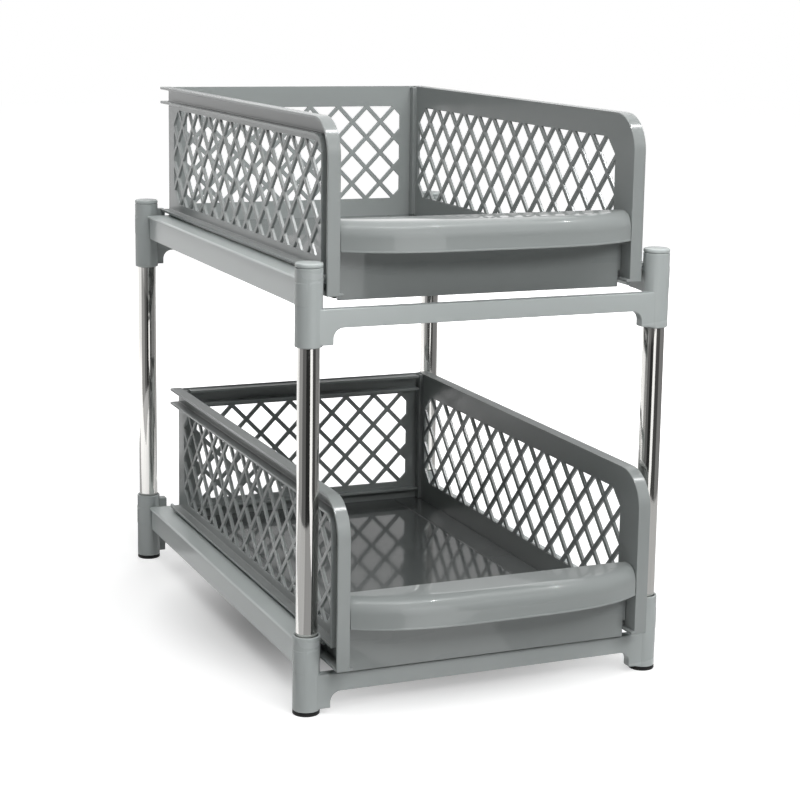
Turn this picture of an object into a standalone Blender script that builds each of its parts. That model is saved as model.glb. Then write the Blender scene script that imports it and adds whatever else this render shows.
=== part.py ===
"""Two-tier pull-out organizer.

A stand of four steel posts carries two tiers of plastic beams and rails. A basket with diamond lattice
walls slides on the rails of each tier. X runs to the right, Y to the back and Z up. The posts stand
symmetrically about X and about the middle of the stand, and the origin is on the ground in the middle
of the whole object as it stands here, with its lower basket pulled out a little.
"""

import math

import bmesh
import bpy
from mathutils import Matrix, Vector

# Fits
FIT = 0.0003
OVERRUN = 0.002
WELD = 0.000001
SMALLEST_HOLE = 0.0056

# Steel posts
TUBE_DIAMETER = 0.016
TUBE_WALL = 0.001
ROUND_STEPS = 16

# Basket size
BASKET_INNER_WIDTH = 0.2314
BASKET_LENGTH = 0.4195
SIDE_HEIGHT = 0.1245
LOWER_BASKET_PULL = 0.0265

# Side panels of a basket
WEB = 0.0023
FLANGE = 0.0022
FLANGE_REACH = 0.0076
CORNER_RADIUS = 0.028
CORNER_STEPS = 5
LOOP_INSET = 0.0123
RUNNER_CHANNEL = 0.0143
FLOOR_LEDGE_REACH = 0.0028
RIB_REACH = 0.0035
FRONT_RIB = 0.0072
REAR_RIB = 0.0025

# Lattice window of a side panel, from the front plane and the bottom of the panel
SIDE_WINDOW_FRONT = 0.029
SIDE_WINDOW_REAR_MARGIN = 0.017
SIDE_WINDOW_BOTTOM = 0.0235
SIDE_WINDOW_TOP_MARGIN = 0.019
SIDE_WINDOW_CHAMFER = 0.013
SIDE_PITCH_LENGTH = 0.02925
SIDE_PITCH_HEIGHT = 0.0309
SIDE_NODE_FRONT = 0.0271
SIDE_NODE_DROP = 0.012
STRAND = 0.0036

# Back panel of a basket
BACK_THICKNESS = 0.0022
BACK_FLANGE_REACH = 0.0098
BACK_FLANGE_SIDE_MARGIN = 0.0052
BACK_WINDOW_SIDE_MARGIN = 0.0134
BACK_WINDOW_BOTTOM = 0.021
BACK_WINDOW_TOP_MARGIN = 0.0185
BACK_PITCH_LENGTH = 0.0277
BACK_PITCH_ROWS = 3

# Floor of a basket
FLOOR_THICKNESS = 0.0025
FLOOR_RIB_DEPTH = 0.005
FLOOR_RIB = 0.002
FLOOR_SIDE_GAP = 0.0032
FLOOR_CELLS_ACROSS = 2
FLOOR_CELLS_ALONG = 4
GROOVE_INSET = 0.026
GROOVE_WIDTH = 0.0012
GROOVE_DEPTH = 0.0005

# Front of a basket
FRONT_WALL = 0.0025
FRONT_WALL_SETBACK = 0.013
FRONT_FOOT_REACH = 0.006
GRIP_BOTTOM = 0.031
GRIP_TOP = 0.0528
GRIP_BULGE = 0.020
GRIP_BULGE_POWER = 3.8
GRIP_ROUND = 0.0118
GRIP_SHELL = 0.0024
GRIP_BACK_LIP = 0.002
GRIP_HEM = 0.0004
GRIP_HEM_HEIGHT = 0.0011
GRIP_STATIONS = 13
GRIP_ROUND_STEPS = 3
FRONT_TAB_REACH = 0.018
FRONT_TAB_HEIGHT = 0.020
FRONT_TAB_LIFT = 0.002

# Sleeves that hold the posts
SLEEVE_WALL = 0.0017
SLEEVE_BASKET_GAP = 0.0029
SLEEVE_RISE = 0.0096
SHELF_DROP = 0.0101
SHELF_THICKNESS = 0.0025

# Beams across the front and back of a tier
BEAM_SETBACK = 0.0013
BEAM_DEPTH = 0.0085
BEAM_HEIGHT = 0.0135
BEAM_WALL = 0.0024
BEAM_CELLS = 6
BEAM_BASKET_GAP = 0.0025
GUSSET_FOOT = 0.0015
GUSSET_DROP = 0.012
GUSSET_REACH = 0.0057
GUSSET_FILLET = 0.0077
GUSSET_STEPS = 4
POST_FRONT_SETBACK = 0.0012
POST_REAR_SETBACK = 0.0013
STOP_GRIP = 0.004
STOP_RISE = 0.0022

# Side rails of a tier
RAIL_HEIGHT = 0.021
RAIL_WALL = 0.0024
RAIL_PLATE = 0.0025
RAIL_FACE_OUTSET = 0.0005
RAIL_LIP_REACH = 0.002
RAIL_LIP_HEIGHT = 0.0022
RAIL_END_GAP = 0.0026
RAIL_RUN_CLEARANCE = 0.001
RAIL_HEM = 0.002
RAIL_HEM_DROP = 0.0025
RAIL_RIB = 0.0018
RAIL_RIBS = 7
RAIL_RIB_RISE = 0.0025
RUNNER_BEAD_WIDTH = 0.0022
RUNNER_BEAD_HEIGHT = 0.002
SEAT_LENGTH = 0.012
SEAT_WIDTH = 0.0068
SEAT_BOTTOM_RISE = 0.0015

# Tiers, feet and caps
TIER_PITCH = 0.266
FOOT_HEIGHT = 0.0027
FOOT_STEM_HEIGHT = 0.004
CAP_HEIGHT = 0.0031
CAP_EDGE = 0.0013
CAP_STEM_LENGTH = 0.006

# Finishes: colour, roughness and metallic share
GREY_COLOUR = (0.36, 0.39, 0.385, 1.0)
STEEL_COLOUR = (0.72, 0.71, 0.69, 1.0)
RUBBER_COLOUR = (0.012, 0.012, 0.012, 1.0)
GREY_ROUGHNESS_SHARE = 0.34
STEEL_ROUGHNESS_SHARE = 0.12
RUBBER_ROUGHNESS_SHARE = 0.7

# Sizes that follow from the ones above
TUBE_RADIUS = TUBE_DIAMETER / 2
BORE_RADIUS = TUBE_RADIUS + FIT
SLEEVE_RADIUS = BORE_RADIUS + SLEEVE_WALL
WEB_INNER = BASKET_INNER_WIDTH / 2
WEB_OUTER = WEB_INNER + WEB
BASKET_HALF_WIDTH = WEB_OUTER + FLANGE_REACH
POST_X = BASKET_HALF_WIDTH + SLEEVE_BASKET_GAP + SLEEVE_RADIUS
POST_SPAN_Y = BASKET_LENGTH + POST_REAR_SETBACK - POST_FRONT_SETBACK
POST_Y = POST_SPAN_Y / 2
FLOOR_BOTTOM = FLANGE + FIT
FLOOR_TOP = FLOOR_BOTTOM + FLOOR_THICKNESS
FLOOR_HALF_WIDTH = WEB_INNER - FIT
BASKET_LOW = -FLOOR_RIB_DEPTH
BACK_REAR = BASKET_LENGTH - REAR_RIB - FIT
BACK_FRONT = BACK_REAR - BACK_THICKNESS
LOOP_TOP = SIDE_HEIGHT - LOOP_INSET

# Heights above the bottom of a tier's sleeves
BEAM_BOTTOM = GUSSET_FOOT + GUSSET_DROP
BEAM_TOP = BEAM_BOTTOM + BEAM_HEIGHT
BASKET_BASE = BEAM_TOP + BEAM_BASKET_GAP + FLOOR_RIB_DEPTH
BEAD_TOP = BASKET_BASE + RUNNER_CHANNEL - FIT
RAIL_TOP = BEAD_TOP - RUNNER_BEAD_HEIGHT
SLEEVE_HEIGHT = RAIL_TOP + SLEEVE_RISE
LOWER_TIER = FOOT_HEIGHT + FIT
UPPER_TIER = LOWER_TIER + TIER_PITCH
SHELF_BOTTOM = SLEEVE_HEIGHT - SHELF_DROP
SHELF_TOP = SHELF_BOTTOM + SHELF_THICKNESS

# The origin is halfway between the front of the pulled-out grip and the back of the stand
BASKET_FRONT_CLOSED = -POST_Y - POST_FRONT_SETBACK
FRONT_REACH = -BASKET_FRONT_CLOSED + LOWER_BASKET_PULL + GRIP_BULGE
BACK_REACH = POST_Y + SLEEVE_RADIUS
STAND_SHIFT = (FRONT_REACH - BACK_REACH) / 2


def clear_scene():
    for item in list(bpy.data.objects):
        bpy.data.objects.remove(item, do_unlink=True)


def finish(name, colour, roughness, metallic):
    material = bpy.data.materials.new(name)
    material.use_nodes = True
    shader = material.node_tree.nodes["Principled BSDF"]
    shader.inputs["Base Color"].default_value = colour
    shader.inputs["Roughness"].default_value = roughness
    shader.inputs["Metallic"].default_value = metallic
    return material


def holder(name, location, parent=None):
    empty = bpy.data.objects.new(name, None)
    bpy.context.collection.objects.link(empty)
    empty.location = location
    empty.parent = parent
    return empty


def tool_object(mesh_name, shape):
    """Puts a closed bmesh in the scene, with its faces pointing out."""
    bmesh.ops.remove_doubles(shape, verts=shape.verts, dist=WELD)
    bmesh.ops.recalc_face_normals(shape, faces=shape.faces)
    mesh = bpy.data.meshes.new(mesh_name)
    shape.to_mesh(mesh)
    shape.free()
    item = bpy.data.objects.new(mesh_name, mesh)
    bpy.context.collection.objects.link(item)
    return item


def named_piece(name, item, material, parent, location=(0, 0, 0), turn=0):
    """Gives a finished shape its name, finish and place."""
    item.name = name
    item.data.name = name
    item.data.materials.clear()
    item.data.materials.append(material)
    item.data.shade_smooth()
    item.data.set_sharp_from_angle(angle=math.radians(30))
    item.parent = parent
    item.location = location
    item.rotation_euler = (0, 0, turn)
    return item


def combined(base, tools, operation):
    """Joins or cuts base with each tool, and removes the tools."""
    for tool in tools:
        step = base.modifiers.new("step", "BOOLEAN")
        step.operation = operation
        step.solver = "EXACT"
        step.object = tool
    bpy.context.view_layer.update()
    seen = base.evaluated_get(bpy.context.evaluated_depsgraph_get())
    mesh = bpy.data.meshes.new_from_object(seen)
    base.modifiers.clear()
    old = base.data
    base.data = mesh
    bpy.data.meshes.remove(old)
    for tool in tools:
        bpy.data.objects.remove(tool, do_unlink=True)
    return base


def joined(base, tools):
    return combined(base, tools, "UNION")


def cut(base, tools):
    return combined(base, tools, "DIFFERENCE")


def add_box(shape, low, high):
    size = Vector(high) - Vector(low)
    middle = (Vector(high) + Vector(low)) / 2
    stretch = Matrix.Translation(middle) @ Matrix.Diagonal(size).to_4x4()
    bmesh.ops.create_cube(shape, size=1, matrix=stretch)


def box(low, high):
    shape = bmesh.new()
    add_box(shape, low, high)
    return tool_object("box", shape)


def boxes(spans):
    """Several separate boxes as one tool."""
    shape = bmesh.new()
    for low, high in spans:
        add_box(shape, low, high)
    return tool_object("boxes", shape)


def add_prism(shape, outline, start, end, place):
    """Extrudes a closed outline of (u, v) points from start to end, and place puts (u, v, w) in space."""
    near = [shape.verts.new(place(u, v, start)) for u, v in outline]
    far = [shape.verts.new(place(u, v, end)) for u, v in outline]
    shape.faces.new(near)
    shape.faces.new(far[::-1])
    for i in range(len(outline)):
        j = (i + 1) % len(outline)
        shape.faces.new((near[j], near[i], far[i], far[j]))


def prism(outline, start, end, place):
    shape = bmesh.new()
    add_prism(shape, outline, start, end, place)
    return tool_object("prism", shape)


def prisms(outlines, start, end, place):
    """Several separate prisms as one tool."""
    shape = bmesh.new()
    for outline in outlines:
        add_prism(shape, outline, start, end, place)
    return tool_object("prisms", shape)


def turned(profile, steps):
    """Spins a closed profile of (radius, height) points round Z."""
    shape = bmesh.new()
    points = [shape.verts.new((radius, 0, height)) for radius, height in profile]
    edges = [shape.edges.new((a, b)) for a, b in zip(points, points[1:] + points[:1])]
    edges = [e for e in edges if max(abs(v.co.x) for v in e.verts) > 0]
    for point in points:
        if not point.link_edges:
            shape.verts.remove(point)
    loose = [e for e in shape.edges if e not in edges]
    bmesh.ops.delete(shape, geom=loose, context="EDGES_FACES")
    bmesh.ops.spin(
        shape,
        geom=list(shape.verts) + list(shape.edges),
        axis=(0, 0, 1),
        cent=(0, 0, 0),
        angle=math.tau,
        steps=steps,
        use_merge=True,
    )
    return tool_object("turned", shape)


def arc(centre, radius, start, end, steps):
    """Points on an arc, with angles in degrees."""
    points = []
    for i in range(steps + 1):
        angle = math.radians(start + (end - start) * i / steps)
        points.append((centre[0] + radius * math.cos(angle), centre[1] + radius * math.sin(angle)))
    return points


def clipped(polygon, inside, crossing):
    """Keeps the part of a convex polygon on the inner side of one line."""
    kept = []
    for a, b in zip(polygon, polygon[1:] + polygon[:1]):
        if inside(a):
            kept.append(a)
        if inside(a) != inside(b):
            kept.append(crossing(a, b))
    return kept


def clip_to_window(polygon, window):
    """Clips a convex polygon to a convex window whose points run anticlockwise."""
    for p, q in zip(window, window[1:] + window[:1]):
        direction = (q[0] - p[0], q[1] - p[1])

        def depth(point, p=p, direction=direction):
            return direction[0] * (point[1] - p[1]) - direction[1] * (point[0] - p[0])

        def crossing(a, b, depth=depth):
            share = depth(a) / (depth(a) - depth(b))
            return (a[0] + (b[0] - a[0]) * share, a[1] + (b[1] - a[1]) * share)

        polygon = clipped(polygon, lambda point, depth=depth: depth(point) > 0, crossing)
        if len(polygon) < 3:
            return []
    return polygon


def polygon_area(polygon):
    pairs = zip(polygon, polygon[1:] + polygon[:1])
    return abs(sum(a[0] * b[1] - b[0] * a[1] for a, b in pairs)) / 2


def lattice_holes(window, node, pitch_length, pitch_height):
    """Diamond holes between crossing strands. The strands cross at node and at every half pitch from it."""
    lows = [min(p[i] for p in window) for i in (0, 1)]
    highs = [max(p[i] for p in window) for i in (0, 1)]
    half_length = pitch_length / 2
    half_height = pitch_height / 2
    strand_share = STRAND / 2 * math.hypot(1 / half_length, 1 / half_height)
    reach_x = half_length * (1 - strand_share)
    reach_y = half_height * (1 - strand_share)
    first_row = math.floor((lows[1] - node[1]) / half_height) - 1
    last_row = math.ceil((highs[1] - node[1]) / half_height) + 1
    first_column = math.floor((lows[0] - node[0]) / half_length) - 1
    last_column = math.ceil((highs[0] - node[0]) / half_length) + 1
    holes = []
    for row in range(first_row, last_row + 1):
        for column in range(first_column, last_column + 1):
            if (row + column) % 2 == 0:
                continue
            x = node[0] + column * half_length
            y = node[1] + row * half_height
            diamond = [(x + reach_x, y), (x, y + reach_y), (x - reach_x, y), (x, y - reach_y)]
            hole = clip_to_window(diamond, window)
            if hole and polygon_area(hole) > SMALLEST_HOLE ** 2:
                holes.append(hole)
    return holes


def side_outline(inset, low):
    """The path round a side panel's front: along the bottom, up the front, round and back along the top."""
    radius = max(CORNER_RADIUS - inset, FLANGE)
    centre = (inset + radius, SIDE_HEIGHT - inset - radius)
    path = [(BASKET_LENGTH, low), (inset, low)]
    path += arc(centre, radius, 180, 90, CORNER_STEPS)
    path.append((BASKET_LENGTH, SIDE_HEIGHT - inset))
    return path


def side_panel(name, side, material, parent):
    """One lattice side. Its flanges reach out, and two of them clasp the rail's runner between them."""

    def place(u, v, w):
        return Vector((side * w, u, v))

    rear = BASKET_LENGTH - SIDE_WINDOW_REAR_MARGIN
    top = SIDE_HEIGHT - SIDE_WINDOW_TOP_MARGIN
    low = SIDE_WINDOW_BOTTOM
    front = SIDE_WINDOW_FRONT
    nip = SIDE_WINDOW_CHAMFER
    window = [
        (front + nip, low),
        (rear - nip, low),
        (rear, low + nip),
        (rear, top - nip),
        (rear - nip, top),
        (front + nip, top),
        (front, top - nip),
        (front, low + nip),
    ]
    node = (front + SIDE_NODE_FRONT, top - SIDE_NODE_DROP)
    holes = lattice_holes(window, node, SIDE_PITCH_LENGTH, SIDE_PITCH_HEIGHT)
    web = prism(side_outline(0, 0), WEB_INNER, WEB_OUTER, place)
    outer = side_outline(0, 0) + side_outline(FLANGE, FLANGE)[::-1]
    inner = side_outline(LOOP_INSET, RUNNER_CHANNEL)
    inner += side_outline(LOOP_INSET + FLANGE, RUNNER_CHANNEL + FLANGE)[::-1]
    root = WEB_INNER + WEB / 2
    flanges = [prism(loop, root, BASKET_HALF_WIDTH, place) for loop in (outer, inner)]

    ledge_edge = WEB_INNER - FLOOR_LEDGE_REACH
    rib_edge = WEB_INNER - RIB_REACH
    rib_front = BACK_FRONT - FIT - FRONT_RIB
    spans = [
        ((ledge_edge, 0, 0), (root, BASKET_LENGTH, FLANGE)),
        ((rib_edge, rib_front, FLOOR_TOP + FIT), (root, BACK_FRONT - FIT, SIDE_HEIGHT)),
        ((rib_edge, BASKET_LENGTH - REAR_RIB, FLANGE / 2), (root, BASKET_LENGTH, SIDE_HEIGHT)),
    ]
    inner_ribs = []
    for low_corner, high_corner in spans:
        ends = sorted((side * low_corner[0], side * high_corner[0]))
        inner_ribs.append(
            box((ends[0], low_corner[1], low_corner[2]), (ends[1], high_corner[1], high_corner[2]))
        )
    panel = joined(web, flanges + inner_ribs)
    panel = cut(panel, [prisms(holes, WEB_INNER - OVERRUN, WEB_OUTER + OVERRUN, place)])
    return named_piece(name, panel, material, parent)


def back_panel(name, material, parent, flanges_inward):
    """The lattice back. The same panel fits either way round, so its flanges face out or in."""
    half = FLOOR_HALF_WIDTH
    bottom = FLANGE + FIT
    window_half = WEB_INNER - BACK_WINDOW_SIDE_MARGIN
    low = BACK_WINDOW_BOTTOM
    top = SIDE_HEIGHT - BACK_WINDOW_TOP_MARGIN
    window = [(-window_half, low), (window_half, low), (window_half, top), (-window_half, top)]
    pitch_height = (top - low) / BACK_PITCH_ROWS
    holes = lattice_holes(window, (BACK_PITCH_LENGTH / 2, top), BACK_PITCH_LENGTH, pitch_height)
    outline = [(-half, bottom), (half, bottom), (half, SIDE_HEIGHT), (-half, SIDE_HEIGHT)]
    middle = BACK_THICKNESS / 2

    def place(u, v, w):
        return Vector((u, w, v))

    web = prism(outline, -middle, middle, place)
    flange_half = WEB_INNER - BACK_FLANGE_SIDE_MARGIN
    reach = middle + BACK_FLANGE_REACH
    tops = (SIDE_HEIGHT, LOOP_TOP, RUNNER_CHANNEL + FLANGE)
    flanges = [box((-flange_half, 0, z - FLANGE), (flange_half, reach, z)) for z in tops]
    panel = joined(web, flanges)
    panel = cut(panel, [prisms(holes, -middle - OVERRUN, middle + OVERRUN, place)])
    turn = math.pi if flanges_inward else 0
    return named_piece(name, panel, material, parent, (0, BACK_FRONT + middle, 0), turn)


def floor_panel(name, material, parent):
    """The floor plate, with border grooves on top and a grid of ribs below."""
    front = FRONT_WALL_SETBACK + FRONT_WALL + FIT
    rear = BACK_FRONT - FIT
    half = FLOOR_HALF_WIDTH
    plate = box((-half, front, FLOOR_BOTTOM), (half, rear, FLOOR_TOP))

    rib_half = WEB_INNER - FLOOR_SIDE_GAP
    rib_front = front + FRONT_FOOT_REACH + FIT
    rib_root = FLOOR_BOTTOM + FLOOR_THICKNESS / 2
    ribs = box((-rib_half, rib_front, BASKET_LOW), (rib_half, rear, rib_root))
    cell_x = (2 * rib_half - FLOOR_RIB) / FLOOR_CELLS_ACROSS
    cell_y = (rear - rib_front - FLOOR_RIB) / FLOOR_CELLS_ALONG
    cells = []
    for i in range(FLOOR_CELLS_ACROSS):
        for j in range(FLOOR_CELLS_ALONG):
            x = -rib_half + FLOOR_RIB + i * cell_x
            y = rib_front + FLOOR_RIB + j * cell_y
            corner = (x + cell_x - FLOOR_RIB, y + cell_y - FLOOR_RIB, FLOOR_BOTTOM)
            cells.append(((x, y, BASKET_LOW - OVERRUN), corner))
    panel = joined(plate, [cut(ribs, [boxes(cells)])])

    groove_x = WEB_INNER - GROOVE_INSET
    groove_z = FLOOR_TOP - GROOVE_DEPTH
    over = FLOOR_TOP + OVERRUN
    middle_y = BASKET_LENGTH / 2
    half_groove = GROOVE_WIDTH / 2
    long_grooves = []
    cross_grooves = []
    for side in (-1, 1):
        x = side * groove_x
        long_grooves.append(
            ((x - half_groove, front - OVERRUN, groove_z), (x + half_groove, rear + OVERRUN, over))
        )
        ends = sorted((x, side * (half + OVERRUN)))
        cross_grooves.append(
            ((ends[0], middle_y - half_groove, groove_z), (ends[1], middle_y + half_groove, over))
        )
    panel = cut(panel, [boxes(long_grooves), boxes(cross_grooves)])
    return named_piece(name, panel, material, parent)


def grip_section(bulge):
    """The closed section of the curled grip as (y, z) points, where its hem stands forward by bulge."""
    outer = GRIP_ROUND
    inner = max(GRIP_ROUND - GRIP_SHELL, GRIP_SHELL / 2)
    turn_y = outer + GRIP_HEM - bulge
    turn_z = GRIP_TOP - outer
    back = FRONT_WALL_SETBACK + FRONT_WALL + GRIP_BACK_LIP
    hem_top = GRIP_BOTTOM + GRIP_HEM_HEIGHT
    section = [(back, GRIP_TOP)]
    section += arc((turn_y, turn_z), outer, 90, 180, GRIP_ROUND_STEPS)
    section += [(turn_y - outer, hem_top + GRIP_HEM), (-bulge, hem_top), (-bulge, GRIP_BOTTOM)]
    section.append((turn_y - inner, GRIP_BOTTOM))
    section += arc((turn_y, turn_z), inner, 180, 90, GRIP_ROUND_STEPS)
    section.append((back, turn_z + inner))
    return section


def grip_shell():
    """The grip, lofted between the sides: flat in the middle and drawn back to the panels at its ends."""
    shape = bmesh.new()
    half = FLOOR_HALF_WIDTH
    rings = []
    for i in range(GRIP_STATIONS):
        angle_share = i / (GRIP_STATIONS - 1)
        across_share = -math.cos(math.pi * angle_share)
        bulge = GRIP_BULGE * (1 - abs(across_share) ** GRIP_BULGE_POWER)
        section = grip_section(bulge)
        rings.append([shape.verts.new((half * across_share, y, z)) for y, z in section])
    for left, right in zip(rings, rings[1:]):
        for j in range(len(left)):
            k = (j + 1) % len(left)
            shape.faces.new((left[j], left[k], right[k], right[j]))
    shape.faces.new(rings[0])
    shape.faces.new(rings[-1])
    return tool_object("grip", shape)


def front_panel(name, material, parent):
    """The front wall with its curled grip, a foot that the floor rests on and a tab at each side."""
    half = WEB_INNER - FLOOR_SIDE_GAP
    wall_front = FRONT_WALL_SETBACK
    wall_rear = wall_front + FRONT_WALL
    wall_top = GRIP_TOP - GRIP_SHELL / 2
    wall = box((-half, wall_front, BASKET_LOW), (half, wall_rear, wall_top))
    foot_half = WEB_INNER - FLOOR_LEDGE_REACH - FLOOR_SIDE_GAP
    foot_root = wall_front + FRONT_WALL / 2
    foot = box((-foot_half, foot_root, 0), (foot_half, wall_rear + FRONT_FOOT_REACH, FLANGE))
    tools = [grip_shell(), foot]
    tab_low = FLOOR_TOP + FRONT_TAB_LIFT
    for side in (-1, 1):
        ends = sorted((side * (half - FRONT_WALL), side * FLOOR_HALF_WIDTH))
        low_corner = (ends[0], foot_root, tab_low)
        high_corner = (ends[1], wall_rear + FRONT_TAB_REACH, tab_low + FRONT_TAB_HEIGHT)
        tools.append(box(low_corner, high_corner))
    return named_piece(name, joined(wall, tools), material, parent)


def beam_outline():
    """The beam with a filleted gusset under each end, as (x, z) points."""
    edge = POST_X - SLEEVE_RADIUS - GUSSET_REACH
    fillet = min(GUSSET_FILLET, GUSSET_DROP)
    centre = (edge - fillet, BEAM_BOTTOM - fillet)
    right = [(POST_X, BEAM_TOP), (POST_X, GUSSET_FOOT), (edge, GUSSET_FOOT)]
    if GUSSET_DROP > fillet:
        right.append((edge, BEAM_BOTTOM - fillet))
    right += arc(centre, fillet, 0, 90, GUSSET_STEPS)[1:]
    left = [(-x, z) for x, z in right]
    return right + left[::-1]


def round_bar(radius, bottom, top, x):
    """A solid round bar that stands upright at x."""
    shape = bmesh.new()
    middle = Matrix.Translation((x, 0, (bottom + top) / 2))
    bmesh.ops.create_cone(
        shape,
        cap_ends=True,
        segments=ROUND_STEPS,
        radius1=radius,
        radius2=radius,
        depth=top - bottom,
        matrix=middle,
    )
    return tool_object("bar", shape)


def beam_piece(name, material, parent, location, turn, with_shelf, with_stops):
    """A beam with a sleeve at each end, a seat for each rail and, at the back, the stops for the basket."""
    face = BEAM_SETBACK - SLEEVE_RADIUS
    rear = face + BEAM_DEPTH
    beam = prism(beam_outline(), face, rear, lambda u, v, w: Vector((u, w, v)))
    hollow_half = POST_X - SLEEVE_RADIUS - GUSSET_REACH - GUSSET_FILLET
    cell = (2 * hollow_half + BEAM_WALL) / BEAM_CELLS
    cells = []
    for i in range(BEAM_CELLS):
        x = -hollow_half + i * cell
        low_corner = (x, face + BEAM_WALL, BEAM_BOTTOM + BEAM_WALL)
        cells.append((low_corner, (x + cell - BEAM_WALL, rear + OVERRUN, BEAM_TOP - BEAM_WALL)))
    beam = cut(beam, [boxes(cells)])

    tools = []
    for side in (-1, 1):
        tools.append(round_bar(SLEEVE_RADIUS, 0, SLEEVE_HEIGHT, side * POST_X))
        seat_outer = POST_X + RAIL_FACE_OUTSET - RAIL_WALL - FIT
        ends = sorted((side * seat_outer, side * (seat_outer - SEAT_WIDTH)))
        seat_low = (ends[0], 0, RAIL_TOP - RAIL_HEIGHT + SEAT_BOTTOM_RISE)
        seat_high = (ends[1], SLEEVE_RADIUS + RAIL_END_GAP + SEAT_LENGTH, RAIL_TOP - RAIL_PLATE - FIT)
        tools.append(box(seat_low, seat_high))
        if with_stops:
            stop_front = POST_Y - (BASKET_FRONT_CLOSED + BASKET_LENGTH + FIT)
            ends = sorted((side * (BASKET_HALF_WIDTH - STOP_GRIP), side * (POST_X - SLEEVE_RADIUS / 2)))
            stop_low = (ends[0], face + BEAM_WALL / 2, BEAM_BOTTOM + BEAM_WALL / 2)
            stop_top = BASKET_BASE + RUNNER_CHANNEL + STOP_RISE
            tools.append(box(stop_low, (ends[1], stop_front, stop_top)))
    beam = joined(beam, tools)

    open_top = SLEEVE_HEIGHT + OVERRUN
    bores = []
    for x in (-POST_X, POST_X):
        bores.append(round_bar(BORE_RADIUS, -OVERRUN, SHELF_BOTTOM if with_shelf else open_top, x))
        if with_shelf:
            bores.append(round_bar(BORE_RADIUS, SHELF_TOP, open_top, x))
    return named_piece(name, cut(beam, bores), material, parent, location, turn)


def rail_section():
    """The section of a rail as (x, z) points from the post line outwards, lip, plate, bead and hem."""
    face = POST_X + RAIL_FACE_OUTSET
    lip = face + RAIL_LIP_REACH
    inner = WEB_OUTER + RAIL_RUN_CLEARANCE
    wall_inner = face - RAIL_WALL
    under = RAIL_TOP - RAIL_PLATE
    bottom = RAIL_TOP - RAIL_HEIGHT
    half_lip = RAIL_LIP_HEIGHT / 2
    hem = inner + RAIL_HEM
    bead_inner = inner + FIT
    bead_outer = bead_inner + RUNNER_BEAD_WIDTH
    quarter_bead = RUNNER_BEAD_HEIGHT / 4
    return [
        (face, bottom),
        (face, RAIL_TOP - RAIL_LIP_HEIGHT),
        (lip, RAIL_TOP - RAIL_LIP_HEIGHT + half_lip / 2),
        (lip, RAIL_TOP - half_lip / 2),
        (lip - half_lip, RAIL_TOP),
        (bead_outer, RAIL_TOP),
        (bead_outer, BEAD_TOP - quarter_bead),
        (bead_outer - quarter_bead, BEAD_TOP),
        (bead_inner + quarter_bead, BEAD_TOP),
        (bead_inner, BEAD_TOP - quarter_bead),
        (inner, RAIL_TOP - quarter_bead),
        (inner, under - RAIL_HEM_DROP),
        (hem, under - RAIL_HEM_DROP),
        (hem, under),
        (wall_inner, under),
        (wall_inner, bottom),
    ]


def rail_piece(name, side, material, parent):
    """A side rail: an outer wall, a plate with the runner bead, and ribs under the plate."""
    half_length = POST_Y - SLEEVE_RADIUS - RAIL_END_GAP

    def place(u, v, w):
        return Vector((side * u, w, v))

    rail = prism(rail_section(), -half_length, half_length, place)
    wall = POST_X + RAIL_FACE_OUTSET - RAIL_WALL / 2
    under = RAIL_TOP - RAIL_PLATE / 2
    low = RAIL_TOP - RAIL_HEIGHT + RAIL_RIB_RISE
    foot = BASKET_HALF_WIDTH + SLEEVE_BASKET_GAP
    hem = WEB_OUTER + RAIL_RUN_CLEARANCE + RAIL_HEM / 2
    hem_low = RAIL_TOP - RAIL_PLATE - RAIL_HEM_DROP + RAIL_HEM / 2
    outline = [(wall, low), (foot, low), (foot, hem_low), (hem, hem_low), (hem, under), (wall, under)]
    reach = half_length - SEAT_LENGTH - RAIL_RIB - OVERRUN
    ribs = []
    for i in range(RAIL_RIBS):
        y = -reach + 2 * reach * i / (RAIL_RIBS - 1)
        ribs.append(prism(outline, y - RAIL_RIB / 2, y + RAIL_RIB / 2, place))
    return named_piece(name, joined(rail, ribs), material, parent)


def post_tube(name, material, parent, x, y):
    bottom = LOWER_TIER + FOOT_STEM_HEIGHT + FIT
    top = UPPER_TIER + SHELF_BOTTOM - FIT
    bore = TUBE_RADIUS - TUBE_WALL
    profile = [(bore, bottom), (TUBE_RADIUS, bottom), (TUBE_RADIUS, top), (bore, top)]
    return named_piece(name, turned(profile, ROUND_STEPS), material, parent, (x, y, 0))


def foot_pad(name, material, parent, x, y):
    stem = BORE_RADIUS - FIT
    profile = [
        (0, 0),
        (SLEEVE_RADIUS, 0),
        (SLEEVE_RADIUS, FOOT_HEIGHT),
        (stem, FOOT_HEIGHT),
        (stem, LOWER_TIER + FOOT_STEM_HEIGHT),
        (0, LOWER_TIER + FOOT_STEM_HEIGHT),
    ]
    return named_piece(name, turned(profile, ROUND_STEPS), material, parent, (x, y, 0))


def post_cap(name, material, parent, x, y):
    """A cap with a low dome, plugged into the top of an upper sleeve."""
    stem = BORE_RADIUS - FIT
    stem_length = min(CAP_STEM_LENGTH, SLEEVE_HEIGHT - SHELF_TOP)
    profile = [
        (0, FIT - stem_length),
        (stem, FIT - stem_length),
        (stem, 0),
        (SLEEVE_RADIUS, 0),
        (SLEEVE_RADIUS, CAP_HEIGHT - CAP_EDGE),
        (SLEEVE_RADIUS - CAP_EDGE / 3, CAP_HEIGHT - CAP_EDGE / 3),
        (SLEEVE_RADIUS - CAP_EDGE, CAP_HEIGHT),
        (0, CAP_HEIGHT),
    ]
    height = UPPER_TIER + SLEEVE_HEIGHT + FIT
    return named_piece(name, turned(profile, ROUND_STEPS), material, parent, (x, y, height))


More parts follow.
